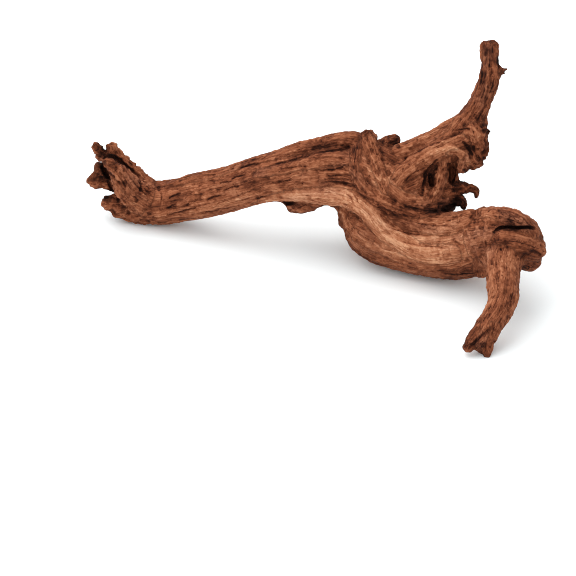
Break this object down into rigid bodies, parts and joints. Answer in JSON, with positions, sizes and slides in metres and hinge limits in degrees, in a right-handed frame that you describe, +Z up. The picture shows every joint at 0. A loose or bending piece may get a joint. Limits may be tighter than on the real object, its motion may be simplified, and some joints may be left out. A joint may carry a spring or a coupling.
{
  "type": "piece of mopani wood",
  "caption": "Gnarled root wood: a long limb from a hollow broken end to a knotted heart with an upright branch, and a trunk with a knuckle and leg; tank and terrarium decor.",
  "frame": {"origin": "centre of the bounding box in X and Y, on the table that the wood lies on", "axes": "+X along the limb from the hollow broken end to the knuckle, +Y away from the viewer, +Z up"},
  "size_m": [0.4557, 0.3027, 0.237],
  "materials": {
    "wood": "weathered, matt, open grain with cracks and pits"
  },
  "bodies": {
    "root": {"mopani_wood": "wood"}
  },
  "joints": []
}
